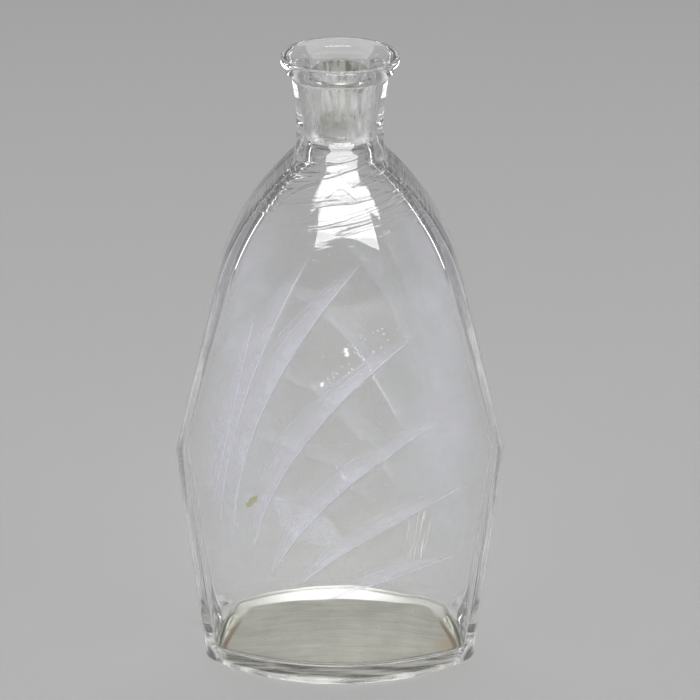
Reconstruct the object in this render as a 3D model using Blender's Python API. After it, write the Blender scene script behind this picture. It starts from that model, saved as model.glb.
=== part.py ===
# A flat-sided glass carafe with a narrow-edged body, a ground neck and a flared lip.
# The real carafe is one piece of clear glass. It is modelled as the zones that the glassmaker
# works one after another, fused while hot: the heavy foot, the mould-blown body with its
# raised leaves, the drawn neck with its ground bore, and the tooled lip.
# Metres, +Z up. The origin is the middle of the face that the carafe stands on. +Z runs up
# the neck, and the two broad faces look along -Y and +Y.

import bpy
import bmesh
from math import asin, atan2, cos, pi, sin, sqrt
from mathutils import Matrix, Vector

# Heights of the zones, each above the one before: up to the waist's sharp corner, to the arch,
# to the shoulder's top at the sides, to the neck's root, to the neck's top and to the rim
foot_thickness = 0.0058
waist_height = 0.0932
arch_rise = 0.0733
shoulder_rise = 0.0537
neck_seat_rise = 0.0108
neck_length = 0.0208
lip_height = 0.0080

arch_height = waist_height + arch_rise
shoulder_height = arch_height + shoulder_rise
neck_root_height = shoulder_height + neck_seat_rise
neck_top_height = neck_root_height + neck_length
lip_top_height = neck_top_height + lip_height

# Body in plan: half widths across the side panels, half depth through the broad faces, and
# half depths at the side panels' long edges. The faces lean in from just above the waist and
# run on up the neck, past the shoulder's top
foot_half_width = 0.0558
waist_half_width = 0.0667
arch_half_width = 0.0488
face_half_depth = 0.0355
foot_edge_half_depth = 0.0155
waist_edge_half_depth = 0.0028
arch_edge_half_depth = 0.0150
shoulder_edge_half_depth = 0.0111
edge_radius = 0.0020
face_lean_rise = 0.0091
neck_blend_length = 0.0062

# Walls of the body, and how much of the side panel's depth the cavity keeps at its sides. At
# the floor the faces are thicker and the cavity's corners squarer, and both ease off above it
side_wall = 0.0055
face_wall = 0.0045
foot_face_wall = 0.0070
wall_easing_rise = 0.0300
cavity_edge_share = 0.90
cavity_foot_edge_share = 1.04

# Foot: the floor's low dome on its slight step, the rounded heel, the shallow punt underneath,
# and the fillet where the cavity meets the floor
floor_edge_rise = 0.0001
floor_dome_rise = 0.0030
heel_radius = 0.0030
punt_depth = 0.0012
punt_slope_width = 0.0020
bearing_width = 0.0045
floor_fillet_width = 0.0042
floor_fillet_height = 0.0040

# Neck and its ground bore
neck_root_radius = 0.0167
neck_top_radius = 0.0183
bore_root_radius = 0.0086
bore_top_radius = 0.0105

# Lip: its widest radius, its rounded rim, the mouth that narrows into the bore, and how much
# slant the flares of its underside and of its mouth start with
lip_radius = 0.0224
rim_height = 0.0012
rim_width = 0.0010
mouth_edge_width = 0.0016
mouth_edge_drop = 0.0006
throat_length = 0.0017
lip_slant_share = 0.35
mouth_slant_share = 0.50

# Raised leaves on both broad faces: a soft edge, a crisp edge, ends that dip under the face,
# and roots within the wall
leaf_soft_rise = 0.0004
leaf_crisp_rise = 0.0013
leaf_end_dip = 0.0006
leaf_root_depth = 0.0022
leaf_tip_width = 0.0010

# Clearance between zones of glass that touch, and how far a cutter runs past what it cuts
seam_gap = 0.0003
cut_overrun = 0.0020

# Fineness
arc_steps = 8
edge_steps = 2
panel_steps = 3
heel_steps = 3
fillet_steps = 3
rim_steps = 4
curve_steps = 6
turn_steps = 36
leaf_steps = 12

# Levels of the body between its lowest and highest ring, as shares of each stretch
lower_level_shares = (0.35, 0.70)
upper_level_shares = (0.30, 0.65)
arch_level_shares = (0.15, 0.30, 0.44, 0.57, 0.68, 0.78, 0.86, 0.93)
seat_level_shares = (0.35, 0.70)

# Rings of the floor's dome, as shares of its outline
dome_shares = (0.80, 0.55, 0.30)

# Each leaf: the root's and tip's places, across as shares of the half width and up as shares
# of the height to the neck, then the bow and the width as shares of the leaf's length
leaf_shares = (
    (-0.82, 0.31, -0.66, 0.72, 0.05, 0.10),
    (-0.78, 0.27, -0.26, 0.83, 0.10, 0.09),
    (-0.70, 0.24, 0.26, 0.82, 0.14, 0.09),
    (-0.60, 0.22, 0.66, 0.69, 0.16, 0.09),
    (-0.47, 0.21, 0.80, 0.53, 0.16, 0.10),
    (-0.31, 0.20, 0.84, 0.38, 0.14, 0.11),
    (-0.12, 0.18, 0.80, 0.24, 0.11, 0.12),
)

glass_colour = (0.90, 0.94, 0.91, 1.0)
glass_roughness = 0.03
ground_colour = (0.84, 0.86, 0.85, 1.0)
ground_roughness = 0.35
glass_index = 1.52


def clear_scene():
    for item in list(bpy.data.objects):
        bpy.data.objects.remove(item, do_unlink=True)


def glass(name, colour, roughness):
    material = bpy.data.materials.new(name)
    material.use_nodes = True
    shader = material.node_tree.nodes["Principled BSDF"]
    shader.inputs["Base Color"].default_value = colour
    shader.inputs["Roughness"].default_value = roughness
    shader.inputs["Metallic"].default_value = 0.0
    shader.inputs["IOR"].default_value = glass_index
    shader.inputs["Transmission Weight"].default_value = 1.0
    return material


def finish(bm, name, material):
    bmesh.ops.recalc_face_normals(bm, faces=bm.faces)
    mesh = bpy.data.meshes.new(name)
    bm.to_mesh(mesh)
    bm.free()
    mesh.shade_smooth()
    mesh.set_sharp_from_angle(angle=pi / 6)
    mesh.materials.append(material)
    made = bpy.data.objects.new(name, mesh)
    bpy.context.scene.collection.objects.link(made)
    return made


def between(place, low, low_value, high, high_value):
    return low_value + (high_value - low_value) * (place - low) / (high - low)


def arched(height, low, low_value, lean, high, high_value):
    # A round arc in height: it leaves the low point with the given lean and ends at the high one
    along = Vector((1.0, -lean)).normalized()
    inward = Vector((along.y, -along.x))
    reach = Vector((high - low, high_value - low_value))
    radius = reach.length_squared / (2 * reach.dot(inward))
    centre = Vector((low, low_value)) + inward * radius
    return centre.y + sqrt(max(radius**2 - (height - centre.x) ** 2, 0))


def half_width(height):
    # Across the side panels: out to the waist, in to the arch, round to the neck and up it
    if height <= waist_height:
        return between(height, 0, foot_half_width, waist_height, waist_half_width)
    if height <= arch_height:
        return between(height, waist_height, waist_half_width, arch_height, arch_half_width)
    if height >= shoulder_height:
        return neck_root_radius
    lean = (waist_half_width - arch_half_width) / (arch_height - waist_height)
    return arched(height, arch_height, arch_half_width, lean, shoulder_height, neck_root_radius)


def half_depth(height):
    lean_height = waist_height + face_lean_rise
    if height <= lean_height:
        return face_half_depth
    return arched(
        height, lean_height, face_half_depth, 0, neck_root_height, neck_root_radius
    )


def edge_half_depth(height):
    # The side panel is a lozenge: it narrows to almost nothing at the waist
    if height <= waist_height:
        return between(height, 0, foot_edge_half_depth, waist_height, waist_edge_half_depth)
    if height <= arch_height:
        return between(
            height, waist_height, waist_edge_half_depth, arch_height, arch_edge_half_depth
        )
    return between(
        height, arch_height, arch_edge_half_depth, neck_root_height, shoulder_edge_half_depth
    )


def neck_share(height):
    # 0 where the body is flat sided, 1 where it has become the round neck
    share = (height - neck_root_height + neck_blend_length) / neck_blend_length
    share = min(max(share, 0), 1)
    return share**2 * (3 - 2 * share)


def face_reach(across, width, depth, edge):
    # How far a broad face stands out, at a place across it
    rise = depth - edge
    radius = (width**2 + rise**2) / (2 * rise)
    return depth - radius + sqrt(max(radius**2 - across**2, 0))


def quarter_outline(width, depth, edge):
    # One quarter in plan: from a face's middle, round the softened edge, to a panel's middle
    softening = min(edge_radius, edge)
    arc_end = width - softening
    points = []
    for step in range(arc_steps + 1):
        across = arc_end * step / arc_steps
        points.append(Vector((across, face_reach(across, width, depth, edge))))
    start = points[-1]
    corner = Vector((width, edge))
    end = Vector((width, edge - softening / 2))
    for step in range(1, edge_steps + 1):
        share = step / edge_steps
        points.append(
            start * (1 - share) ** 2 + corner * 2 * share * (1 - share) + end * share**2
        )
    for step in range(1, panel_steps + 1):
        points.append(Vector((width, end.y * (1 - step / panel_steps))))
    return points


def plan_ring(height, width, depth, edge, round_width, round_depth):
    # A closed outline at a height. It turns into an oval as the neck comes near
    blend = neck_share(height)
    quarter = []
    for point in quarter_outline(width, depth, edge):
        turn = atan2(point.y / depth, point.x / width)
        oval = Vector((round_width * cos(turn), round_depth * sin(turn)))
        quarter.append(point.lerp(oval, blend))
    outline = [Vector((p.x, p.y)) for p in quarter]
    outline += [Vector((p.x, -p.y)) for p in reversed(quarter[:-1])]
    outline += [Vector((-p.x, -p.y)) for p in quarter[1:]]
    outline += [Vector((-p.x, p.y)) for p in reversed(quarter[1:-1])]
    return [Vector((p.x, p.y, height)) for p in outline]


def outside_ring(height, inset=0):
    width = half_width(height) - inset
    depth = half_depth(height) - inset
    return plan_ring(height, width, depth, edge_half_depth(height), width, depth)


def cavity_ring(height, inset=0):
    easing = min(max((height - foot_thickness) / wall_easing_rise, 0), 1)
    wall = between(easing, 0, foot_face_wall, 1, face_wall)
    edge_share = between(easing, 0, cavity_foot_edge_share, 1, cavity_edge_share)
    width = half_width(height) - side_wall - inset
    depth = half_depth(height) - wall - inset
    edge = min(edge_half_depth(height), depth) * edge_share
    return plan_ring(height, width, depth, edge, bore_root_radius, bore_root_radius)


def at_height(points, height):
    return [Vector((p.x, p.y, height)) for p in points]


def add_loft(bm, rings):
    # A closed solid through rings of equally many points, capped at both ends
    loops = []
    for ring in rings:
        corners = [bm.verts.new(point) for point in ring]
        loops.append([bm.edges.new((corners[i - 1], corners[i])) for i in range(len(corners))])
    for low, high in zip(loops, loops[1:]):
        bmesh.ops.bridge_loops(bm, edges=low + high)
    bmesh.ops.contextual_create(bm, geom=loops[0])
    bmesh.ops.contextual_create(bm, geom=loops[-1])


def add_boolean(made, other, operation):
    # The other solid only shapes this one, so it is kept out of the model
    other.hide_render = True
    other.display_type = "WIRE"
    change = made.modifiers.new(other.name, "BOOLEAN")
    change.operation = operation
    change.solver = "EXACT"
    change.use_self = operation == "UNION"
    change.object = other


def make_foot(material):
    # The slab that closes the body: punt, bearing ring, rounded heel, seat and domed floor
    rings = [
        at_height(outside_ring(0, heel_radius + bearing_width + punt_slope_width), punt_depth),
        at_height(outside_ring(0, heel_radius + bearing_width), 0),
    ]
    for step in range(heel_steps + 1):
        turn = pi / 2 * step / heel_steps
        rise = heel_radius * (1 - cos(turn))
        rings.append(at_height(outside_ring(rise, heel_radius * (1 - sin(turn))), rise))
    rings.append(outside_ring(foot_thickness))
    floor_height = foot_thickness + floor_edge_rise
    floor = cavity_ring(floor_height, floor_fillet_width + seam_gap)
    rings.append(floor)
    for share in dome_shares:
        ring = [point * share for point in floor]
        rings.append(at_height(ring, floor_height + floor_dome_rise * (1 - share**2)))

    bm = bmesh.new()
    add_loft(bm, rings)
    return finish(bm, "foot", material)


def body_levels(low):
    levels = [low]
    levels += [between(s, 0, low, 1, waist_height) for s in lower_level_shares]
    levels += [waist_height]
    levels += [between(s, 0, waist_height, 1, arch_height) for s in upper_level_shares]
    levels += [arch_height]
    levels += [between(s, 0, arch_height, 1, shoulder_height) for s in arch_level_shares]
    levels += [shoulder_height]
    levels += [between(s, 0, shoulder_height, 1, neck_root_height) for s in seat_level_shares]
    levels += [neck_root_height]
    return levels


def make_body(material):
    # The mould-blown wall, open below at the foot and above at the neck
    low = foot_thickness + seam_gap
    bm = bmesh.new()
    add_loft(bm, [outside_ring(height) for height in body_levels(low)])
    body = finish(bm, "body", material)
    add_boolean(body, make_cavity(low, material), "DIFFERENCE")
    add_boolean(body, make_leaves(material), "UNION")
    return body


def make_cavity(low, material):
    # The room inside, with a fillet round the floor. It runs out past both ends of the wall
    rings = []
    for step in range(fillet_steps):
        turn = pi / 2 * step / fillet_steps
        height = low + floor_fillet_height * (1 - cos(turn))
        rings.append(cavity_ring(height, floor_fillet_width * (1 - sin(turn))))
    rings += [cavity_ring(height) for height in body_levels(low + floor_fillet_height)]
    rings.insert(0, at_height(rings[0], low - cut_overrun))
    rings.append(at_height(rings[-1], neck_root_height + cut_overrun))

    bm = bmesh.new()
    add_loft(bm, rings)
    return finish(bm, "cavity_cutter", material)


def face_place(across, height, lift):
    # A place on the front face, lifted square off its arc
    width = half_width(height)
    depth = half_depth(height)
    rise = depth - edge_half_depth(height)
    radius = (width**2 + rise**2) / (2 * rise)
    turn = asin(across / radius)
    reach = radius + lift
    return Vector((reach * sin(turn), radius - depth - reach * cos(turn), height))


def leaf_path(row):
    # The middle line of a leaf, drawn flat: across and up
    root_across, root_up, tip_across, tip_up, bow, _ = row
    root_height = neck_root_height * root_up
    tip_height = neck_root_height * tip_up
    root = Vector((root_across * half_width(root_height), root_height))
    tip = Vector((tip_across * half_width(tip_height), tip_height))
    reach = tip - root
    pull = (root + tip) / 2 + Vector((-reach.y, reach.x)) * 2 * bow

    def at(share):
        return root * (1 - share) ** 2 + pull * 2 * share * (1 - share) + tip * share**2

    return at, reach.length


def add_leaf(bm, row):
    # A long blade that climbs from its soft edge to its crisp one, and is rooted in the wall
    at, length = leaf_path(row)
    width_share = row[-1]
    rings = []
    for step in range(leaf_steps + 1):
        share = step / leaf_steps
        middle = at(share)
        along = (at(share + 1 / leaf_steps) - at(share - 1 / leaf_steps)).normalized()
        across = Vector((along.y, -along.x))
        swell = sin(pi * share)
        half = (leaf_tip_width + length * width_share * swell) / 2
        soft_lift = between(swell, 0, -leaf_end_dip, 1, leaf_soft_rise)
        crisp_lift = between(swell, 0, -leaf_end_dip, 1, leaf_crisp_rise)
        section = (
            (-half, soft_lift),
            (0, (soft_lift + crisp_lift) / 2),
            (half, crisp_lift),
            (half, -leaf_root_depth),
            (-half, -leaf_root_depth),
        )
        ring = []
        for out, lift in section:
            place = middle + across * out
            ring.append(face_place(place.x, place.y, lift))
        rings.append(ring)
    add_loft(bm, rings)


def make_leaves(material):
    # The same spray on both broad faces: the back one is the front one turned half round
    bm = bmesh.new()
    for row in leaf_shares:
        add_leaf(bm, row)
    spray = bm.verts[:] + bm.edges[:] + bm.faces[:]
    copied = bmesh.ops.duplicate(bm, geom=spray)["geom"]
    turned_verts = [item for item in copied if isinstance(item, bmesh.types.BMVert)]
    bmesh.ops.rotate(bm, verts=turned_verts, cent=(0, 0, 0), matrix=Matrix.Rotation(pi, 3, "Z"))
    return finish(bm, "leaf_blanks", material)


def turned(profile, name, material):
    # Turns a closed profile of (radius, height) points about the neck's axis
    bm = bmesh.new()
    corners = [bm.verts.new((radius, 0, height)) for radius, height in profile]
    edges = [bm.edges.new((corners[i - 1], corners[i])) for i in range(len(corners))]
    bmesh.ops.spin(
        bm,
        geom=corners + edges,
        cent=(0, 0, 0),
        axis=(0, 0, 1),
        angle=2 * pi,
        steps=turn_steps,
        use_merge=True,
    )
    return finish(bm, name, material)


def make_neck(material):
    # A drawn tube: nearly straight at its root, widening upwards, with a tapered ground bore
    low = neck_root_height + seam_gap
    profile = [(bore_root_radius, low)]
    for step in range(curve_steps + 1):
        share = step / curve_steps
        radius = between(share**2, 0, neck_root_radius, 1, neck_top_radius)
        profile.append((radius, between(share, 0, low, 1, neck_top_height)))
    profile.append((bore_top_radius, neck_top_height))
    return turned(profile, "neck", material)


def flare_shares(slant):
    # A flare that starts at a slant and ends square to it, as shares (across, along)
    shares = []
    for step in range(curve_steps + 1):
        turn = pi / 2 * step / curve_steps
        shares.append((sin(turn), slant * sin(turn) + (1 - slant) * (1 - cos(turn))))
    return shares


def make_lip(material):
    # A round-edged flange whose mouth funnels down into the bore
    low = neck_top_height + seam_gap
    widest = lip_top_height - rim_height
    crown_radius = lip_radius - rim_width
    mouth_radius = crown_radius - mouth_edge_width
    mouth_height = lip_top_height - mouth_edge_drop
    profile = [(bore_top_radius, low)]
    for across, along in flare_shares(lip_slant_share):
        radius = between(across, 0, neck_top_radius, 1, lip_radius)
        profile.append((radius, between(along, 0, low, 1, widest)))
    for step in range(1, rim_steps + 1):
        turn = pi / 2 * step / rim_steps
        radius = between(cos(turn), 0, crown_radius, 1, lip_radius)
        profile.append((radius, between(sin(turn), 0, widest, 1, lip_top_height)))
    for across, along in flare_shares(mouth_slant_share):
        radius = between(across, 0, mouth_radius, 1, bore_top_radius)
        profile.append((radius, between(along, 0, mouth_height, 1, low + throat_length)))
    return turned(profile, "lip", material)


def main():
    clear_scene()
    make_foot(glass("foot_glass", glass_colour, glass_roughness))
    make_body(glass("body_glass", glass_colour, glass_roughness))
    make_neck(glass("neck_glass", ground_colour, ground_roughness))
    make_lip(glass("lip_glass", glass_colour, glass_roughness))


main()
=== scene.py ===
from functools import lru_cache
from math import atan2, cos, pi, radians, sin, sqrt

import bmesh
import bpy
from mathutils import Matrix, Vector, noise
from mathutils.kdtree import KDTree


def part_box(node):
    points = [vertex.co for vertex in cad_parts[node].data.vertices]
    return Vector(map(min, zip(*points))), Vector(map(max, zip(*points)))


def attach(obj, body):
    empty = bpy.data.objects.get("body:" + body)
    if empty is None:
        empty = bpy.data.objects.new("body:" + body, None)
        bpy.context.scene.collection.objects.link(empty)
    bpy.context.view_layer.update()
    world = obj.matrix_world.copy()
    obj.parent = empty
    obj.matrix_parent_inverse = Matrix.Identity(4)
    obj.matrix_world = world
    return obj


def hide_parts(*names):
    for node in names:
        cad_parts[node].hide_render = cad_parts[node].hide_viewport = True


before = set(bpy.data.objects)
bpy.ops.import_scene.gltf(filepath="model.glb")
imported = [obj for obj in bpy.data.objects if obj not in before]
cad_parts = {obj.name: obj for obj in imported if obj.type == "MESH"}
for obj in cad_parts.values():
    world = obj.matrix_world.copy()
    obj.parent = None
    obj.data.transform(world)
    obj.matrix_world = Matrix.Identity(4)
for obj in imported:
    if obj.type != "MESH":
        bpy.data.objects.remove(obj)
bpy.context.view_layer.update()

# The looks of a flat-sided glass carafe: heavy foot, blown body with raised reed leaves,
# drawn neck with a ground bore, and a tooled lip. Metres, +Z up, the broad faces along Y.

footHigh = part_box("foot")[1]
bodyLow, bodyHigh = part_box("body")
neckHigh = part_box("neck")[1]
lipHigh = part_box("lip")[1]
print("frame loaded:", ", ".join(sorted(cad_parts)))

# The glass. What the frame gives is read from it, and the rest is the maker's own
glass = {
    "seamGap": 0.0003,
    "faceHalfDepth": footHigh.y,
    "waistHalfWidth": bodyHigh.x,
    "neckRootHeight": bodyHigh.z,
    "neckTopHeight": neckHigh.z,
    "neckTopRadius": neckHigh.x,
    "lipRadius": lipHigh.x,
    "lipTopHeight": lipHigh.z,
    "waistHeight": 0.0932,
    "archHeight": 0.1665,
    "shoulderHeight": 0.2202,
    "footHalfWidth": 0.0558,
    "archHalfWidth": 0.0488,
    "footEdgeHalfDepth": 0.0155,
    "waistEdgeHalfDepth": 0.0028,
    "archEdgeHalfDepth": 0.0150,
    "shoulderEdgeHalfDepth": 0.0111,
    "faceLeanRise": 0.0091,
    "neckBlendLength": 0.0062,
    "edgeSoftness": 0.0020,
    "waistSoftness": 0.0007,
    "shoulderSoftness": 0.0010,
    "sideWall": 0.0055,
    "faceWall": 0.0045,
    "footFaceWall": 0.0070,
    "wallEasingRise": 0.0300,
    "cavityEdgeShare": 0.90,
    "cavityFootEdgeShare": 1.04,
    "cavityLowSoftness": 0.0020,
    "cavityHighSoftness": 0.0050,
    "floorDomeRise": 0.0030,
    "heelRadius": 0.0030,
    "puntDepth": 0.0012,
    "puntSlopeWidth": 0.0020,
    "bearingWidth": 0.0045,
    "filletWidth": 0.0042,
    "filletHeight": 0.0040,
    "drawnInShare": 0.16,
    "drawnInRise": 0.0170,
    "drawnInReach": 0.0130,
    "groundReach": 0.0036,
    "neckRootRadius": 0.0167,
    "boreRootRadius": 0.0086,
    "boreTopRadius": 0.0105,
    "rimHeight": 0.0012,
    "rimWidth": 0.0010,
    "mouthEdgeWidth": 0.0016,
    "mouthEdgeDrop": 0.0006,
    "throatLength": 0.0020,
    "lipSlantShare": 0.35,
    "mouthSlantShare": 0.50,
    "panelColumns": 5,
    "edgeColumns": 4,
    "arcColumns": 41,
    "fineCuts": 2,
    "fineReach": 0.0016,
    "softSteps": 9,
    "waverScale": 70,
    "joinReach": 0.000002,
}
floorHeight = bodyLow.z - glass["seamGap"]

# The reed leaves: rises of the soft and the crisp edge, how fast each falls off, and for each
# leaf the root's and tip's places, across as shares of the half width and up as shares of the
# height to the neck, then the bow and the width as shares of its length
leaves = {
    "softRise": 0.0004,
    "crispRise": 0.0013,
    "endDip": 0.0006,
    "tipWidth": 0.0010,
    "softFall": 0.0016,
    "crispFall": 0.0010,
    "backCrispFall": 0.0022,
    "ridgeReach": 0.0008,
    "satinSwell": 1.6,
    "ridgeSwell": 3,
    "bareEnd": 0.02,
    "fadeHeight": 0.0500,
    "fadeRise": 0.0080,
    "steps": 300,
    "shares": (
        (-0.82, 0.31, -0.66, 0.72, 0.05, 0.10),
        (-0.78, 0.27, -0.26, 0.83, 0.10, 0.09),
        (-0.70, 0.24, 0.26, 0.82, 0.14, 0.09),
        (-0.60, 0.22, 0.66, 0.69, 0.16, 0.09),
        (-0.47, 0.21, 0.80, 0.53, 0.16, 0.10),
        (-0.31, 0.20, 0.84, 0.38, 0.14, 0.11),
        (-0.12, 0.18, 0.80, 0.24, 0.11, 0.12),
    ),
}


def between(place, low, lowValue, high, highValue):
    return lowValue + (highValue - lowValue) * (place - low) / (high - low)


def eased(share):
    share = min(max(share, 0), 1)
    return share * share * (3 - 2 * share)


def arched(height, low, lowValue, lean, high, highValue):
    # A round arc in height, which leaves the low point with the given lean
    along = Vector((1, -lean)).normalized()
    inward = Vector((along.y, -along.x))
    reach = Vector((high - low, highValue - lowValue))
    radius = reach.length_squared / (2 * reach.dot(inward))
    centre = Vector((low, lowValue)) + inward * radius
    return centre.y + sqrt(max(radius**2 - (height - centre.x) ** 2, 0))


def neckRadius(height):
    share = between(height, glass["neckRootHeight"], 0, glass["neckTopHeight"], 1)
    return between(max(share, 0) ** 2, 0, glass["neckRootRadius"], 1, glass["neckTopRadius"])


def halfWidth(height):
    # Across the side panels: out to the waist, in to the arch, round to the neck and up it
    waist, arch, shoulder = glass["waistHeight"], glass["archHeight"], glass["shoulderHeight"]
    waistWidth, archWidth = glass["waistHalfWidth"], glass["archHalfWidth"]
    if height <= waist:
        return between(height, 0, glass["footHalfWidth"], waist, waistWidth)
    if height <= arch:
        return between(height, waist, waistWidth, arch, archWidth)
    if height <= shoulder:
        lean = (waistWidth - archWidth) / (arch - waist)
        return arched(height, arch, archWidth, lean, shoulder, glass["neckRootRadius"])
    return neckRadius(height)


def halfDepth(height):
    lean = glass["waistHeight"] + glass["faceLeanRise"]
    if height <= lean:
        return glass["faceHalfDepth"]
    if height <= glass["neckRootHeight"]:
        root = glass["neckRootHeight"]
        return arched(height, lean, glass["faceHalfDepth"], 0, root, glass["neckRootRadius"])
    return neckRadius(height)


def edgeHalfDepth(height):
    # The side panel is a lozenge, which narrows to almost nothing at the waist
    waist, arch = glass["waistHeight"], glass["archHeight"]
    waistEdge, archEdge = glass["waistEdgeHalfDepth"], glass["archEdgeHalfDepth"]
    if height <= waist:
        return between(height, 0, glass["footEdgeHalfDepth"], waist, waistEdge)
    if height <= arch:
        return between(height, waist, waistEdge, arch, archEdge)
    root, shoulderEdge = glass["neckRootHeight"], glass["shoulderEdgeHalfDepth"]
    return between(min(height, root), arch, archEdge, root, shoulderEdge)


def neckShare(height):
    blend = glass["neckBlendLength"]
    return eased((height - glass["neckRootHeight"] + blend) / blend)


@lru_cache(maxsize=None)
def softened(profile, height):
    # The profile averaged over a short stretch, which rounds its corners
    share = eased(between(height, glass["archHeight"], 0, glass["shoulderHeight"], 1))
    reach = between(share, 0, glass["waistSoftness"], 1, glass["shoulderSoftness"])
    steps = glass["softSteps"]
    places = [height + reach * (2 * step / (steps - 1) - 1) for step in range(steps)]
    return sum(profile(place) for place in places) / steps


def faceReach(across, width, depth, edge):
    # How far a broad face stands out, at a place across it
    rise = depth - edge
    radius = (width**2 + rise**2) / (2 * rise)
    return depth - radius + sqrt(max(radius**2 - across**2, 0))


def quarterPlace(share, width, depth, edge, softness):
    # One quarter in plan, from the side panel's middle, at 0, to the broad face's middle, at 1
    columns = glass["panelColumns"] + glass["edgeColumns"] + glass["arcColumns"]
    panelEnd = glass["panelColumns"] / columns
    arcStart = panelEnd + glass["edgeColumns"] / columns
    softness = min(softness, edge)
    if share <= panelEnd:
        return width, (edge - softness / 2) * share / panelEnd
    arcWidth = width - softness
    if share >= arcStart:
        across = arcWidth * (1 - share) / (1 - arcStart)
        return across, faceReach(across, width, depth, edge)
    along = (share - panelEnd) / (arcStart - panelEnd)
    start, pull, end = (1 - along) ** 2, 2 * along * (1 - along), along**2
    out = (edge - softness / 2) * start + edge * pull
    out += faceReach(arcWidth, width, depth, edge) * end
    return width * (start + pull) + arcWidth * end, out


def edgeNearness(turn):
    # 1 along the middle of the edge between a side panel and a broad face, 0 beside the edge
    columns = glass["panelColumns"] + glass["edgeColumns"] + glass["arcColumns"]
    share = abs((turn + 1) % 2 - 1)
    along = (share * columns - glass["panelColumns"]) / glass["edgeColumns"]
    return eased(1 - abs(2 * along - 1))


def skinPlace(turn, section):
    # A place on the glass. The turn runs from 0 to 4 and passes the back face at 1, the left
    # panel at 2 and the front face at 3
    height, width, depth, edge, softness, blend, roundWidth, roundDepth, scale = section
    quarter = min(int(turn), 3)
    share = turn - quarter
    if quarter in (1, 3):
        share = 1 - share
    across, out = quarterPlace(share, width, depth, edge, softness)
    angle = atan2(out / depth, across / width)
    across = between(blend, 0, across, 1, roundWidth * cos(angle)) * scale
    out = between(blend, 0, out, 1, roundDepth * sin(angle)) * scale
    sideways = 1 if quarter in (0, 3) else -1
    backwards = 1 if quarter in (0, 1) else -1
    return Vector((across * sideways, out * backwards, height))


def outside(height, inset=0, level=None, scale=1):
    width = softened(halfWidth, height) - inset
    depth = softened(halfDepth, height) - inset
    level = height if level is None else level
    edge, softness = edgeHalfDepth(height), glass["edgeSoftness"]
    return level, width, depth, edge, softness, neckShare(height), width, depth, scale


def cavity(height, inset=0, scale=1):
    # The wall is thicker and the corners squarer at the floor, and both ease off above it
    easing = min(max((height - floorHeight) / glass["wallEasingRise"], 0), 1)
    wall = between(easing, 0, glass["footFaceWall"], 1, glass["faceWall"])
    edgeShare = between(easing, 0, glass["cavityFootEdgeShare"], 1, glass["cavityEdgeShare"])
    width = softened(halfWidth, height) - glass["sideWall"] - inset
    depth = softened(halfDepth, height) - wall - inset
    edge = min(edgeHalfDepth(height), depth) * edgeShare
    low, high = glass["cavityLowSoftness"], glass["cavityHighSoftness"]
    softness = between(min(height, glass["archHeight"]), 0, low, glass["archHeight"], high)
    bore = glass["boreRootRadius"]
    return height, width, depth, edge, softness, neckShare(height), bore, bore, scale


def turned(height, radius):
    root = glass["neckRootHeight"]
    width, depth = halfWidth(root), halfDepth(root)
    return height, width, depth, edgeHalfDepth(root), 0, 1, radius, radius, 1


def flare(share, slant):
    # A flare that starts at a slant and ends square to it: how far across, and how far along
    turn = pi / 2 * share
    return sin(turn), slant * sin(turn) + (1 - slant) * (1 - cos(turn))


# Stretches of the glass, from under the foot, up the outside and down the bore to the floor
def underside(share):
    inset = glass["heelRadius"] + glass["bearingWidth"] + glass["puntSlopeWidth"]
    return outside(0, inset, glass["puntDepth"], share)


def puntSlope(share):
    bearing = glass["heelRadius"] + glass["bearingWidth"]
    inset = bearing + glass["puntSlopeWidth"] * (1 - share)
    return outside(0, inset, glass["puntDepth"] * (1 - eased(share)))


def bearing(share):
    return outside(0, glass["heelRadius"] + glass["bearingWidth"] * (1 - share), 0)


def heel(share):
    rise = glass["heelRadius"] * (1 - cos(pi / 2 * share))
    return outside(rise, glass["heelRadius"] * (1 - sin(pi / 2 * share)))


def side(share):
    return outside(between(share, 0, glass["heelRadius"], 1, glass["neckRootHeight"]))


def neck(share):
    return outside(between(share, 0, glass["neckRootHeight"], 1, glass["neckTopHeight"]))


def lipUnderside(share):
    across, along = flare(share, glass["lipSlantShare"])
    low, widest = glass["neckTopHeight"], glass["lipTopHeight"] - glass["rimHeight"]
    radius = between(across, 0, glass["neckTopRadius"], 1, glass["lipRadius"])
    return turned(between(along, 0, low, 1, widest), radius)


def rim(share):
    crown = glass["lipRadius"] - glass["rimWidth"]
    radius = between(cos(pi / 2 * share), 0, crown, 1, glass["lipRadius"])
    top = glass["lipTopHeight"]
    return turned(between(sin(pi / 2 * share), 0, top - glass["rimHeight"], 1, top), radius)


def crown(share):
    radius = glass["lipRadius"] - glass["rimWidth"] - glass["mouthEdgeWidth"] * share
    return turned(glass["lipTopHeight"] - glass["mouthEdgeDrop"] * share**2, radius)


def mouth(share):
    across, along = flare(share, glass["mouthSlantShare"])
    wide = glass["lipRadius"] - glass["rimWidth"] - glass["mouthEdgeWidth"]
    high = glass["lipTopHeight"] - glass["mouthEdgeDrop"]
    low = glass["neckTopHeight"] + glass["throatLength"]
    radius = between(across, 0, wide, 1, glass["boreTopRadius"])
    return turned(between(along, 0, high, 1, low), radius)


def bore(share):
    high = glass["neckTopHeight"] + glass["throatLength"]
    radius = between(share, 0, glass["boreTopRadius"], 1, glass["boreRootRadius"])
    return turned(between(share, 0, high, 1, glass["neckRootHeight"]), radius)


def cavityTop(share):
    return cavity(glass["neckRootHeight"] - glass["groundReach"] * share)


def cavityWall(share):
    high, low = glass["neckRootHeight"] - glass["groundReach"], floorHeight + glass["filletHeight"]
    return cavity(between(share, 0, high, 1, low))


def fillet(share):
    rise = glass["filletHeight"] * (1 - sin(pi / 2 * share))
    inset = glass["filletWidth"] * (1 - cos(pi / 2 * share))
    return cavity(floorHeight + rise, inset)


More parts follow.
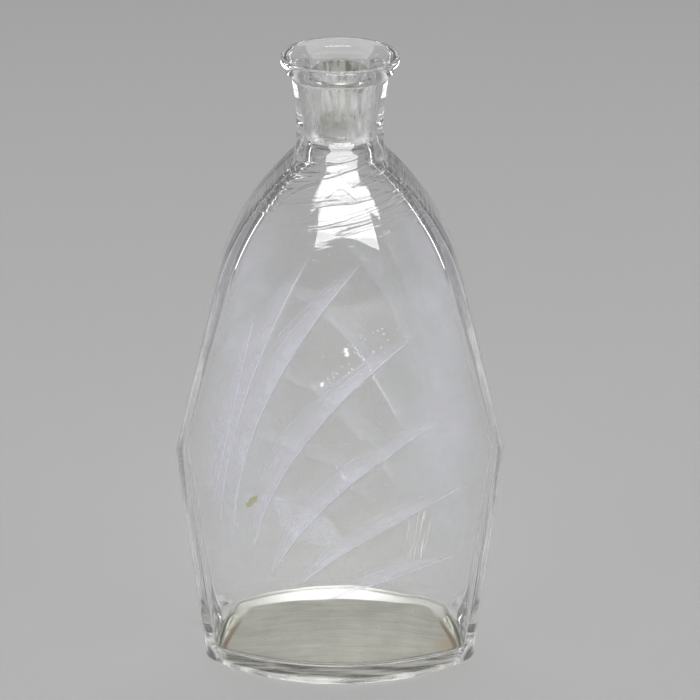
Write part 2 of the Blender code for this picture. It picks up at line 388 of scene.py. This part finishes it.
def cavityFloor(share):
    # A low dome over the foot
    _, *section = cavity(floorHeight, glass["filletWidth"], 1 - share)
    return floorHeight + glass["floorDomeRise"] * (1 - (1 - share) ** 2), *section


def drawnIn(place):
    # The cavity narrows towards the back, just above its floor
    reach = glass["drawnInReach"]
    back = min(max(between(place.y, -reach, 0, reach, 1), 0), 1)
    low = 1 - eased((place.z - floorHeight) / glass["drawnInRise"])
    return Vector((place.x * (1 - glass["drawnInShare"] * back * low), place.y, place.z))


# Each stretch: its shape, its rows, its finish and how far drawn or blown glass wavers there
stretches = (
    (underside, 6, "clear", 0.00003),
    (puntSlope, 4, "clear", 0.00003),
    (bearing, 3, "clear", 0),
    (heel, 6, "clear", 0.00003),
    (side, 136, "clear", 0.00004),
    (neck, 18, "clear", 0.00004),
    (lipUnderside, 12, "clear", 0.00004),
    (rim, 10, "clear", 0.00003),
    (crown, 3, "clear", 0.00003),
    (mouth, 14, "clear", 0.00003),
    (bore, 18, "ground", 0),
    (cavityTop, 3, "ground", 0),
    (cavityWall, 64, "clear", 0.00016),
    (fillet, 10, "filmed", 0.00010),
    (cavityFloor, 7, "filmed", 0.00010),
)
finishes = ("clear", "ground", "filmed")
rowCount = sum(stretch[1] for stretch in stretches)
columnCount = 4 * (glass["panelColumns"] + glass["edgeColumns"] + glass["arcColumns"])


def leafPath(shares):
    # The middle line of a leaf, drawn flat: across and up
    rootAcross, rootUp, tipAcross, tipUp, bow, _ = shares
    rootHeight, tipHeight = glass["neckRootHeight"] * rootUp, glass["neckRootHeight"] * tipUp
    root = Vector((rootAcross * halfWidth(rootHeight), rootHeight))
    tip = Vector((tipAcross * halfWidth(tipHeight), tipHeight))
    reach = tip - root
    pull = (root + tip) / 2 + Vector((-reach.y, reach.x)) * 2 * bow

    def at(share):
        return root * (1 - share) ** 2 + pull * 2 * share * (1 - share) + tip * share**2

    return at, reach.length


def traceLeaf(shares):
    at, length = leafPath(shares)
    steps = leaves["steps"]
    tree = KDTree(steps + 1)
    trace = []
    for step in range(steps + 1):
        middle = at(step / steps)
        along = (at((step + 1) / steps) - at((step - 1) / steps)) / 2
        trace.append((middle, along))
        tree.insert((middle.x, middle.y, 0), step)
    tree.balance()
    return tree, trace, length * shares[-1]


def leafReading(leaf, across, height):
    # Where a place lies on a leaf: the share along it, how far out across it towards the crisp
    # edge, and the leaf's half width there
    tree, trace, width = leaf
    step = tree.find((across, height, 0))[1]
    middle, along = trace[step]
    offset = Vector((across, height)) - middle
    share = (step + offset.dot(along) / along.length_squared) / leaves["steps"]
    share = min(max(share, 0), 1)
    out = offset.dot(Vector((along.y, -along.x)).normalized())
    return share, out, (leaves["tipWidth"] + width * sin(pi * share)) / 2


def leafRelief(reading, height, crispFall):
    # The lift, the satin and the painted highlight along the crisp edge of a leaf at a place, and the
    # share across it
    share, out, half = reading
    swell = sin(pi * share)
    place = min(max((out + half) / (2 * half), 0), 1)
    softLift = between(swell, 0, -leaves["endDip"], 1, leaves["softRise"])
    crispLift = between(swell, 0, -leaves["endDip"], 1, leaves["crispRise"])
    fall = 1 - eased((out - half) / crispFall)
    fall *= 1 - eased((-half - out) / leaves["softFall"])
    lift = max(between(place, 0, softLift, 1, crispLift), 0) * fall
    lift *= eased((height - leaves["fadeHeight"]) / leaves["fadeRise"])
    satin = eased(place) * eased(swell * leaves["satinSwell"]) * fall
    ridgeHighlight = 1 - eased(abs(out - half) / leaves["ridgeReach"])
    ridgeHighlight *= eased(swell * leaves["ridgeSwell"]) * fall
    return lift, satin, ridgeHighlight, place


def sheetTurn(place):
    return (place.x + 0.5) * 4


def sheetStretch(place):
    # The stretch of a place on the flat sheet, and the share along it
    row = round((place.y + 0.5) * rowCount, 4)
    for stretch in stretches:
        if row <= stretch[1]:
            return stretch, row / stretch[1]
        row -= stretch[1]
    return stretches[-1], 1


def facePlace(place):
    # Across and up on a broad face, as seen from outside, or nothing elsewhere
    stretch, share = sheetStretch(place)
    if stretch[0] is not side:
        return None
    onSkin = skinPlace(sheetTurn(place), side(share))
    return (onSkin.x if onSkin.y < 0 else -onSkin.x), onSkin.z


def refineCrispEdges(bm, traced):
    nearCrisp = set()
    for vert in bm.verts:
        flat = facePlace(vert.co)
        if flat is None:
            continue
        for leaf in traced:
            share, out, half = leafReading(leaf, *flat)
            onLeaf = leaves["bareEnd"] < share < 1 - leaves["bareEnd"]
            if onLeaf and abs(out - half) < glass["fineReach"]:
                nearCrisp.add(vert)
                break
    fineFaces = [face for face in bm.faces if not nearCrisp.isdisjoint(face.verts)]
    fineEdges = list({edge for face in fineFaces for edge in face.edges})
    bmesh.ops.subdivide_edges(bm, edges=fineEdges, cuts=glass["fineCuts"], use_grid_fill=True)


def wrapSheet(bm, traced):
    # The flat sheet becomes the carafe's skin, inside and out, and each point gets its masks
    satin = bm.verts.layers.float.new("satin")
    ridgeHighlight = bm.verts.layers.float.new("ridgeHighlight")
    blade = bm.verts.layers.float.new("blade")
    inside = bm.verts.layers.float.new("inside")
    underFoot = bm.verts.layers.float.new("underFoot")
    edge = bm.verts.layers.float.new("edge")
    film = bm.verts.layers.float.new("film")
    lift = bm.verts.layers.float.new("lift")
    waver = bm.verts.layers.float.new("waver")
    for vert in bm.verts:
        flat = facePlace(vert.co)
        if flat is not None:
            front = vert.co.x > 0
            crispFall = leaves["crispFall"] if front else leaves["backCrispFall"]
            reliefs = [leafRelief(leafReading(leaf, *flat), flat[1], crispFall) for leaf in traced]
            vert[lift] = max(relief[0] for relief in reliefs)
            vert[satin] = max(relief[1] for relief in reliefs)
            # A painted highlight along each crisp edge, on the front face only
            vert[ridgeHighlight] = max(relief[2] for relief in reliefs) * front
            vert[blade] = max(reliefs, key=lambda relief: relief[1])[3]
        turn = sheetTurn(vert.co)
        (shape, _, _, wavering), share = sheetStretch(vert.co)
        vert[waver] = wavering
        # Under the foot a pale film paints reflections of light in the thick foot, and along the side
        # panels' edges a white line paints a highlight
        vert[underFoot] = float(shape in (underside, puntSlope))
        vert[edge] = (shape is side) * edgeNearness(turn)
        vert[film] = {fillet: share, cavityFloor: 2}.get(shape, 0)
        vert.co = skinPlace(turn, shape(share))
        if shape in (cavityWall, fillet, cavityFloor):
            vert[inside] = 1
            vert.co = drawnIn(vert.co)


def raiseRelief(bm):
    # The leaves stand out, and drawn or blown glass wavers a little
    lift = bm.verts.layers.float["lift"]
    waver = bm.verts.layers.float["waver"]
    moves = []
    for vert in bm.verts:
        wave = noise.noise(vert.co * glass["waverScale"])
        moves.append(vert.normal * (vert[lift] + vert[waver] * wave))
    for vert, move in zip(bm.verts, moves):
        vert.co += move
    bm.verts.layers.float.remove(bm.verts.layers.float["lift"])
    bm.verts.layers.float.remove(bm.verts.layers.float["waver"])


def shapeGlass():
    traced = [traceLeaf(shares) for shares in leaves["shares"]]
    bm = bmesh.new()
    bmesh.ops.create_grid(bm, x_segments=columnCount, y_segments=rowCount, size=0.5)
    refineCrispEdges(bm, traced)
    for face in bm.faces:
        stretch, _ = sheetStretch(face.calc_center_median())
        face.material_index = finishes.index(stretch[2])
    wrapSheet(bm, traced)
    bmesh.ops.remove_doubles(bm, verts=bm.verts, dist=glass["joinReach"])
    bmesh.ops.recalc_face_normals(bm, faces=bm.faces)
    bm.normal_update()
    raiseRelief(bm)
    bmesh.ops.triangulate(bm, faces=[face for face in bm.faces if len(face.verts) > 4])
    return bm


def addPiece(bm, name, materials):
    mesh = bpy.data.meshes.new(name)
    bm.to_mesh(mesh)
    bm.free()
    mesh.shade_smooth()
    for material in materials:
        mesh.materials.append(material)
    piece = bpy.data.objects.new(name, mesh)
    bpy.context.scene.collection.objects.link(piece)
    return piece


class Wire:
    # A socket of a material, so that shader maths reads as plain sums
    def __init__(self, finish, socket):
        self.finish = finish
        self.socket = socket

    def maths(self, operation, *sockets):
        return self.finish.node("ShaderNodeMath", {"operation": operation}, dict(enumerate(sockets)))

    def __add__(self, other):
        return self.maths("ADD", self, other)

    __radd__ = __add__

    def __sub__(self, other):
        return self.maths("SUBTRACT", self, other)

    def __rsub__(self, other):
        return self.maths("SUBTRACT", other, self)

    def __mul__(self, other):
        return self.maths("MULTIPLY", self, other)

    __rmul__ = __mul__

    def __abs__(self):
        return self.maths("ABSOLUTE", self)

    def above(self, other):
        return self.maths("GREATER_THAN", self, other)

    def atLeast(self, other):
        return self.maths("MAXIMUM", self, other)

    def startingAt(self, least):
        # What ran from 0 to 1 runs from the least value to 1
        return self * (1 - least) + least

    def rise(self, low, high):
        # 0 up to low, 1 from high on, and eased between. It falls where low is the greater
        settings = {"interpolation_type": "SMOOTHSTEP"}
        return self.finish.node("ShaderNodeMapRange", settings, {"Value": self, 1: low, 2: high})


class Finish:
    # A material in the making
    def __init__(self, name):
        self.material = bpy.data.materials.new(name)
        self.material.use_nodes = True
        self.material.node_tree.nodes.clear()

    def node(self, kind, settings=None, sockets=None, output=0):
        made = self.material.node_tree.nodes.new(kind)
        for setting, value in (settings or {}).items():
            setattr(made, setting, value)
        for name, value in (sockets or {}).items():
            if isinstance(value, Wire):
                self.material.node_tree.links.new(value.socket, made.inputs[name])
            else:
                made.inputs[name].default_value = value
        return Wire(self, made.outputs[output])

    def close(self, surface, volume=None):
        output = self.material.node_tree.nodes.new("ShaderNodeOutputMaterial")
        self.material.node_tree.links.new(surface.socket, output.inputs["Surface"])
        if volume is not None:
            self.material.node_tree.links.new(volume.socket, output.inputs["Volume"])
        return self.material


glassFinish = {
    "index": 1.52,
    "colour": (0.990, 0.992, 0.988, 1),
    "roughness": 0.012,
    "absorbedColour": (0.930, 0.932, 0.905, 1),
    "absorbedDensity": 4.5,
    "shadowColour": (0.86, 0.86, 0.86, 1),
    "mostReflections": 2.5,
    "mostBounces": 9.5,
}

# The satin beside the leaves' crisp edges, its veins, the mottling of all the haze, and the painted
# highlight along the front leaves' crisp edges. In each finish a pair of places is where a mask starts
# and where it is full
satinFinish = {
    "colour": (0.62, 0.62, 0.72, 1),
    "filmRoughness": 0.6,
    "hazeRoughness": 0.22,
    "leafShare": 0.50,
    "leastLeaf": 0.5,
    "ridgeHighlightShare": 0.60,
    "backShare": 0.45,
    "backFrom": (-0.001, 0.001),
    "veinPlaces": (0.30, 0.52, 0.76),
    "veinReach": 0.030,
    "veinFrom": (0, 0.1),
    "veinShare": 0.55,
    "leastVein": 0.2,
    "mottleScale": 70,
    "mottleDetail": 6,
    "mottleFrom": (0.30, 0.70),
}

# A thinner haze over the flanks of the broad faces
flankFinish = {
    "share": 0.28,
    "least": 0.3,
    "acrossFrom": (0.016, 0.044),
    "upFrom": (0.000, 0.115),
    "outFrom": (0.010, 0.022),
}

# Painted highlight: a white line along the edges beside the side panels, up to the shoulders
edgeHighlightFinish = {
    "share": 0.75,
    "least": 0.5,
    "upFrom": (0.215, 0.150),
}

# A pale mottled film under the foot: painted reflections of light in the thick foot. Its colour also
# paints the highlight along the side panels' edges
paintedSheenFinish = {
    "colour": (0.80, 0.80, 0.77, 1),
    "share": 0.62,
    "stretch": (0.45, 2.0, 1.0),
    "scale": 100,
    "detail": 4,
    "from": (0.36, 0.66),
}

# Fine grooves that tooling left round the shoulders
grooves = {
    "turn": 13,
    "stretch": (15, 15, 215),
    "detail": 1,
    "reach": 0.022,
    "upFrom": (0.190, 0.204),
    "downFrom": (0.230, 0.222),
    "depth": 0.00026,
    "strength": 0.6,
}

# Marks of use: each one's middle, half sizes, turn in degrees, and where its edge fades, as
# shares of the half sizes
marks = {
    "chalkSpeck": ((0.0024, -0.0326, 0.1520), (0.0009, 0.003, 0.0019), -12, (1.05, 0.85)),
    "chalkDot": ((-0.0069, -0.0337, 0.1389), (0.0009, 0.003, 0.0009), 0, (1.05, 0.85)),
    "strawFleck": ((-0.0350, -0.0280, 0.0839), (0.0043, 0.006, 0.0011), -54, (1.05, 0.90)),
    "dustTrail": ((0.0056, -0.0310, 0.1476), (0.0280, 0.012, 0.0090), -42, (1.30, 0.20)),
    "driedDrop": ((-0.0135, -0.0290, 0.0758), (0.0172, 0.008, 0.0078), 31, (1.10, 0.80)),
    "scratches": ((0.0312, -0.0300, 0.0690), (0.0066, 0.008, 0.0150), 8, (1.10, 0.50)),
    "clearPatch": ((-0.0022, -0.0090, 0.2345), (0.0062, 0.005, 0.0088), 0, (1.35, 0.45)),
    "floorStain": ((0.0460, -0.0120, 0.0070), (0.0110, 0.0110, 0.0060), 0, (1.20, 0.20)),
}

# Their colours and strengths, and the fineness of their grain
markFinish = {
    "chalkColour": (0.90, 0.90, 0.88, 1),
    "strawColour": (0.40, 0.38, 0.25, 1),
    "scratchColour": (0.86, 0.84, 0.68, 1),
    "scratchShare": 0.85,
    "scratchStretch": (14, 0.3, 0.8),
    "scratchFrom": (0.56, 0.66),
    "dustShare": 0.90,
    "leastDust": 0.22,
    "leastDustCloud": 0.4,
    "dustScale": 430,
    "dustFrom": (0.25, 0.125),
    "dropShare": 0.34,
    "leastDrop": 0.4,
    "dropScale": 2600,
    "dropFrom": (0.40, 0.60),
    "raggedScale": 800,
    "raggedReach": 0.0022,
}


def readPlace(finish):
    return finish.node("ShaderNodeTexCoord", output="Object")


def readAxis(finish, place, axis):
    return finish.node("ShaderNodeSeparateXYZ", {}, {0: place}, axis)


def readMask(finish, name):
    return finish.node("ShaderNodeAttribute", {"attribute_name": name}, output="Fac")


def cloudy(finish, place, scale=1, detail=2, output=0):
    sockets = {"Vector": place, "Scale": scale, "Detail": detail}
    return finish.node("ShaderNodeTexNoise", {}, sockets, output)


def stretched(finish, place, stretch):
    return finish.node("ShaderNodeMapping", {}, {"Vector": place, "Scale": stretch})


def placeOnMark(finish, place, name):
    # A place seen from a mark: its middle at the origin, and its edge 1 away
    centre, size, turn, _ = marks[name]
    settings = {"vector_type": "TEXTURE"}
    sockets = {"Vector": place, "Location": centre, "Rotation": (0, radians(turn), 0), "Scale": size}
    return finish.node("ShaderNodeMapping", settings, sockets)


def spot(finish, place, name):
    # 1 on a mark and 0 beyond its edge
    local = placeOnMark(finish, place, name)
    away = finish.node("ShaderNodeVectorMath", {"operation": "LENGTH"}, {0: local}, "Value")
    return away.rise(*marks[name][3])


def blended(finish, share, first, second):
    # A Mix node's colours are its sockets 6 and 7, and its output 2
    return finish.node("ShaderNodeMix", {"data_type": "RGBA"}, {0: share, 6: first, 7: second}, 2)


def clearShader(finish, roughness, **others):
    return finish.node("ShaderNodeBsdfPrincipled", {}, {
        "Base Color": glassFinish["colour"],
        "Roughness": roughness,
        "IOR": glassFinish["index"],
        "Transmission Weight": 1,
        **others,
    })


def filmShader(finish, colour, roughness):
    return finish.node("ShaderNodeBsdfPrincipled", {}, {"Base Color": colour, "Roughness": roughness})


def closeGlass(finish, share, clear, film):
    # Lamps reach through the glass, light that has gone astray in it is let out, and its thick
    # parts are tinted
    glazed = finish.node("ShaderNodeMixShader", {}, {0: share, 1: clear, 2: film})
    shadowRay = finish.node("ShaderNodeLightPath", output="Is Shadow Ray")
    reflections = finish.node("ShaderNodeLightPath", output="Glossy Depth")
    bounces = finish.node("ShaderNodeLightPath", output="Ray Depth")
    letOut = shadowRay.atLeast(reflections.above(glassFinish["mostReflections"]))
    letOut = letOut.atLeast(bounces.above(glassFinish["mostBounces"]))
    through = finish.node("ShaderNodeBsdfTransparent", {}, {"Color": glassFinish["shadowColour"]})
    surface = finish.node("ShaderNodeMixShader", {}, {0: letOut, 1: glazed, 2: through})
    volume = finish.node("ShaderNodeVolumeAbsorption", {}, {
        "Color": glassFinish["absorbedColour"],
        "Density": glassFinish["absorbedDensity"],
    })
    return finish.close(surface, volume)


def leafSatin(finish, place, mottle):
    # Satin beside each crisp edge, veins along the leaf and a painted highlight along the crisp edge
    satin = readMask(finish, "satin")
    blade = readMask(finish, "blade")
    veins = 0
    for veinPlace in satinFinish["veinPlaces"]:
        veins = abs(blade - veinPlace).rise(satinFinish["veinReach"], 0) + veins
    veins = veins * satin.rise(*satinFinish["veinFrom"]) * mottle.startingAt(satinFinish["leastVein"])
    satin = satin * mottle.startingAt(satinFinish["leastLeaf"]) * satinFinish["leafShare"]
    satin = satin.atLeast(veins * satinFinish["veinShare"])
    behind = readAxis(finish, place, "Y").rise(*satinFinish["backFrom"])
    satin = satin * (1 - behind * (1 - satinFinish["backShare"]))
    return satin.atLeast(readMask(finish, "ridgeHighlight") * satinFinish["ridgeHighlightShare"])


def flankHaze(finish, place, mottle):
    haze = abs(readAxis(finish, place, "X")).rise(*flankFinish["acrossFrom"])
    haze = haze * readAxis(finish, place, "Z").rise(*flankFinish["upFrom"])
    haze = haze * abs(readAxis(finish, place, "Y")).rise(*flankFinish["outFrom"])
    return haze * mottle.startingAt(flankFinish["least"]) * flankFinish["share"]


# A painted highlight: a white line along the edges beside the side panels, fading out towards the
# shoulders
def paintedEdgeHighlight(finish, place, mottle):
    edge = readMask(finish, "edge") * readAxis(finish, place, "Z").rise(*edgeHighlightFinish["upFrom"])
    return edge * mottle.startingAt(edgeHighlightFinish["least"])


def raggedPlace(finish, place):
    # A place moved a little at random, which gives a mark a ragged edge
    grain = cloudy(finish, place, markFinish["raggedScale"], output="Color")
    settings = {"operation": "SUBTRACT"}
    grain = finish.node("ShaderNodeVectorMath", settings, {0: grain, 1: (0.5, 0.5, 0.5)})
    settings = {"operation": "MULTIPLY_ADD"}
    sockets = {0: grain, 1: (markFinish["raggedReach"],) * 3, 2: place}
    return finish.node("ShaderNodeVectorMath", settings, sockets)


def dustSpecks(finish, place, mottle):
    # Specks all over, and thickest along a trail
    specks = finish.node("ShaderNodeTexVoronoi", {}, {"Vector": place, "Scale": markFinish["dustScale"]})
    specks = specks.rise(*markFinish["dustFrom"])
    specks = specks * spot(finish, place, "dustTrail").atLeast(markFinish["leastDust"])
    return specks * mottle.startingAt(markFinish["leastDustCloud"]) * markFinish["dustShare"]


def fineScratches(finish, place):
    local = placeOnMark(finish, place, "scratches")
    lines = cloudy(finish, stretched(finish, local, markFinish["scratchStretch"]))
    lines = lines.rise(*markFinish["scratchFrom"])
    return spot(finish, place, "scratches") * lines * markFinish["scratchShare"]


def driedDrop(finish, ragged, place):
    grain = cloudy(finish, place, markFinish["dropScale"]).rise(*markFinish["dropFrom"])
    drop = spot(finish, ragged, "driedDrop") * grain.startingAt(markFinish["leastDrop"])
    return drop * markFinish["dropShare"]


# Painted reflections: a pale mottled film under the foot stands for light in the thick foot
def paintedFootSheen(finish, place):
    rubbed = stretched(finish, place, paintedSheenFinish["stretch"])
    cloud = cloudy(finish, rubbed, paintedSheenFinish["scale"], paintedSheenFinish["detail"])
    return cloud.rise(*paintedSheenFinish["from"]) * paintedSheenFinish["share"]


def shoulderGrooves(finish, place):
    turned = {"Vector": place, "Rotation": (0, radians(grooves["turn"]), 0)}
    around = stretched(finish, finish.node("ShaderNodeMapping", {}, turned), grooves["stretch"])
    up = readAxis(finish, place, "Z")
    groove = abs(cloudy(finish, around, detail=grooves["detail"]) - 0.5).rise(grooves["reach"], 0)
    groove = groove * up.rise(*grooves["upFrom"]) * up.rise(*grooves["downFrom"])
    sockets = {"Strength": grooves["strength"], "Distance": grooves["depth"], "Height": 1 - groove}
    return finish.node("ShaderNodeBump", {}, sockets)


def makeClearGlass():
    finish = Finish("clearGlass")
    place = readPlace(finish)
    inside = readMask(finish, "inside")
    underFoot = readMask(finish, "underFoot")
    mottle = cloudy(finish, place, satinFinish["mottleScale"], satinFinish["mottleDetail"])
    mottle = mottle.rise(*satinFinish["mottleFrom"])
    # The painted edge highlight joins the haze
    edge = paintedEdgeHighlight(finish, place, mottle)
    haze = leafSatin(finish, place, mottle).atLeast(flankHaze(finish, place, mottle) * (1 - inside))
    haze = haze.atLeast(edge * edgeHighlightFinish["share"])

    # Chalky specks, dust, a straw fleck and scratches outside, and a dried drop inside
    ragged = raggedPlace(finish, place)
    chalk = spot(finish, ragged, "chalkSpeck").atLeast(spot(finish, ragged, "chalkDot"))
    straw = spot(finish, ragged, "strawFleck")
    dust = dustSpecks(finish, place, mottle)
    scratches = fineScratches(finish, place)
    drop = driedDrop(finish, ragged, place) * inside
    marked = chalk.atLeast(straw).atLeast(dust).atLeast(scratches) * (1 - inside)
    share = haze.atLeast(marked * (1 - underFoot)).atLeast(drop).atLeast(paintedFootSheen(finish, place) * underFoot)

    colour = blended(finish, straw, satinFinish["colour"], markFinish["strawColour"])
    colour = blended(finish, scratches, colour, markFinish["scratchColour"])
    colour = blended(finish, chalk.atLeast(dust), colour, markFinish["chalkColour"])
    # Under the foot and along the side panels' edges the film takes the pale colour of the painted
    # reflections and the painted edge highlight
    colour = blended(finish, underFoot.atLeast(edge), colour, paintedSheenFinish["colour"])
    roughness = haze * satinFinish["hazeRoughness"] + glassFinish["roughness"]
    clear = clearShader(finish, roughness, Normal=shoulderGrooves(finish, place))
    return closeGlass(finish, share, clear, filmShader(finish, colour, satinFinish["filmRoughness"]))


# The ground bore, with a patch in front where it's worn clear
groundFinish = {
    "roughness": 0.18,
    "roughnessRise": 0.4,
    "leastFilm": 0.12,
    "mostFilm": 0.90,
    "filmColour": (0.50, 0.50, 0.51, 1),
    "filmRoughness": 0.7,
    "streakStretch": (1100, 1100, 50),
    "streakFrom": (0.36, 0.64),
    "streakShare": 0.6,
    "cloudScale": 160,
    "cloudFrom": (0.38, 0.62),
    "detail": 3,
    "patchShare": 0.85,
}


def makeGroundGlass():
    finish = Finish("groundGlass")
    place = readPlace(finish)
    streakShare, least = groundFinish["streakShare"], groundFinish["leastFilm"]
    combed = stretched(finish, place, groundFinish["streakStretch"])
    streaks = cloudy(finish, combed, detail=groundFinish["detail"])
    cloud = cloudy(finish, place, groundFinish["cloudScale"], groundFinish["detail"])
    ground = streaks.rise(*groundFinish["streakFrom"]) * streakShare
    ground = ground + cloud.rise(*groundFinish["cloudFrom"]) * (1 - streakShare)
    ground = ground * (groundFinish["mostFilm"] - least) + least
    ground = ground * (1 - spot(finish, place, "clearPatch") * groundFinish["patchShare"])
    clear = clearShader(finish, ground * groundFinish["roughnessRise"] + groundFinish["roughness"])
    film = filmShader(finish, groundFinish["filmColour"], groundFinish["filmRoughness"])
    return closeGlass(finish, ground, clear, film)


# The brushed, chalky film on the inner floor, with a brown line and a stain at its edge, and a painted
# highlight on the fillet behind. Its mask runs from 0 to 1 down the fillet and is 2 on the floor
floorFinish = {
    "roughness": 0.10,
    "filmRoughness": 0.5,
    "share": 0.88,
    "shareFrom": (0.45, 0.95),
    "colour": (0.310, 0.303, 0.262, 1),
    "streakColour": (0.205, 0.200, 0.176, 1),
    "streakStretch": (45, 900, 100),
    "streakFrom": (0.35, 0.65),
    "streakShare": 0.55,
    "cloudScale": 110,
    "cloudFrom": (0.30, 0.70),
    "detail": 5,
    "behindFrom": (0.002, 0.014),
    # The painted highlight on the back fillet: its colour in the middle and at the ends
    "filletHighlightColour": (0.92, 0.92, 0.90, 1),
    "filletHighlightEndColour": (0.42, 0.42, 0.40, 1),
    "filletFrom": (1.3, 0.9),
    "filletTopFrom": (0.1, 0.4),
    "filletShare": 0.85,
    "filletMiddle": -0.003,
    "filletMiddleFrom": (0.038, 0.010),
    "tideFrom": (0.22, 0.10),
    "tideShare": 0.7,
    "lineColour": (0.105, 0.060, 0.030, 1),
    "lineTopFrom": (0.70, 0.90),
    "lineLowFrom": (1.20, 1.0),
    "lineEndFrom": (0.010, 0.046),
    "leastLine": 0.3,
    "stainColour": (0.25, 0.19, 0.09, 1),
    "stainFrom": (0.3, 0.6),
    "stainShare": 0.7,
}


def makeFilmedGlass():
    finish = Finish("filmedGlass")
    place = readPlace(finish)
    across = readAxis(finish, place, "X")
    behind = readAxis(finish, place, "Y").rise(*floorFinish["behindFrom"])
    film = readMask(finish, "film")
    combed = stretched(finish, place, floorFinish["streakStretch"])
    streaks = cloudy(finish, combed, detail=floorFinish["detail"])
    cloud = cloudy(finish, place, floorFinish["cloudScale"], floorFinish["detail"])
    brushed = streaks.rise(*floorFinish["streakFrom"]) * floorFinish["streakShare"]
    brushed = brushed + cloud.rise(*floorFinish["cloudFrom"]) * (1 - floorFinish["streakShare"])
    colour = blended(finish, brushed, floorFinish["streakColour"], floorFinish["colour"])
    stain = spot(finish, place, "floorStain") * cloud.rise(*floorFinish["stainFrom"])
    colour = blended(finish, stain * floorFinish["stainShare"], colour, floorFinish["stainColour"])

    # The chalky film on the fillet is painted bright behind as a highlight, most of all in the middle,
    # with a tide line at its top
    onFillet = film.rise(*floorFinish["filletFrom"]) * behind
    middle = abs(across - floorFinish["filletMiddle"]).rise(*floorFinish["filletMiddleFrom"])
    filletHighlightColour = blended(finish, middle, floorFinish["filletHighlightEndColour"], floorFinish["filletHighlightColour"])
    colour = blended(finish, onFillet, colour, filletHighlightColour)
    tide = film.rise(*floorFinish["tideFrom"]) * behind * floorFinish["tideShare"]
    filletShare = onFillet * film.rise(*floorFinish["filletTopFrom"]) * floorFinish["filletShare"]

    # The brown line runs round the front of the floor
    line = film.rise(*floorFinish["lineTopFrom"]) * film.rise(*floorFinish["lineLowFrom"])
    lineEnds = abs(across).rise(*floorFinish["lineEndFrom"])
    line = line * (1 - behind) * lineEnds.startingAt(floorFinish["leastLine"])
    colour = blended(finish, line, colour, floorFinish["lineColour"])
    share = film.rise(*floorFinish["shareFrom"]) * floorFinish["share"]
    share = share.atLeast(tide).atLeast(filletShare)
    clear = clearShader(finish, floorFinish["roughness"])
    return closeGlass(finish, share, clear, filmShader(finish, colour, floorFinish["filmRoughness"]))


def makeCarafe():
    makers = {"clear": makeClearGlass, "ground": makeGroundGlass, "filmed": makeFilmedGlass}
    piece = addPiece(shapeGlass(), "carafeGlass", [makers[name]() for name in finishes])
    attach(piece, "root")
    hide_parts("foot", "body", "neck", "lip")
    print("glass shaped:", len(piece.data.vertices), "points,", len(piece.data.polygons), "faces")


studio = {
    "floorHalfSize": 12,
    "floorColour": (0.43, 0.43, 0.427, 1),
    "floorRoughness": 0.9,
    "floorShine": 0.2,
    "worldColour": (0.20, 0.20, 0.205, 1),
    "worldStrength": 1,
}

# Each lamp: its place, where it points, its width and height, and its radiance
lamps = {
    "upperPaneLamp": ((0.10, -1.50, 0.515), (0.0, 0.0, 0.20), 1.75, 0.20, 10),
    "lowerPaneLamp": ((0.12, -1.50, 0.320), (0.0, 0.0, 0.20), 1.20, 0.17, 10),
    "overheadLamp": ((0.0, 0.3, 2.2), (0.0, 0.0, 0.0), 3.2, 3.2, 1.5),
    "leftStripLamp": ((-1.2, 0.35, 0.58), (0.0, 0.0, 0.16), 0.12, 1.0, 4.5),
    "rightStripLamp": ((1.2, 0.35, 0.58), (0.0, 0.0, 0.16), 0.12, 1.0, 4.5),
}

camera = {
    "place": (0, -0.7546, 0.4995),
    "downwards": 25.65,
    "lens": 108,
    "sensor": 36,
    "axisPixel": 340,
    "frameSide": 700,
}


def makeStudio():
    finish = Finish("floorPaper")
    paper = finish.node("ShaderNodeBsdfPrincipled", {}, {
        "Base Color": studio["floorColour"],
        "Roughness": studio["floorRoughness"],
        "Specular IOR Level": studio["floorShine"],
    })
    bm = bmesh.new()
    bmesh.ops.create_grid(bm, x_segments=1, y_segments=1, size=studio["floorHalfSize"])
    floor = addPiece(bm, "studioFloor", [finish.close(paper)])

    world = bpy.data.worlds.new("studioWorld")
    world.use_nodes = True
    backdrop = world.node_tree.nodes["Background"]
    backdrop.inputs["Color"].default_value = studio["worldColour"]
    backdrop.inputs["Strength"].default_value = studio["worldStrength"]
    bpy.context.scene.world = world

    for name, (place, target, width, height, radiance) in lamps.items():
        light = bpy.data.lights.new(name, "AREA")
        light.shape = "RECTANGLE"
        light.size = width
        light.size_y = height
        light.energy = radiance * pi * width * height
        lamp = bpy.data.objects.new(name, light)
        lamp.location = place
        facing = Vector(target) - Vector(place)
        lamp.rotation_euler = facing.to_track_quat("-Z", "Y").to_euler()
        bpy.context.scene.collection.objects.link(lamp)
    print("studio lit:", len(lamps), "lamps")


def makeCamera():
    lens = bpy.data.cameras.new("camera")
    lens.lens = camera["lens"]
    lens.sensor_width = camera["sensor"]
    lens.shift_x = (camera["frameSide"] / 2 - camera["axisPixel"]) / camera["frameSide"]
    viewer = bpy.data.objects.new("camera", lens)
    viewer.location = camera["place"]
    viewer.rotation_euler = (radians(90 - camera["downwards"]), 0, 0)
    bpy.context.scene.collection.objects.link(viewer)
    bpy.context.scene.camera = viewer
    print("camera set")


makeCarafe()
makeStudio()
makeCamera()
bpy.context.scene.view_settings.view_transform = "Standard"
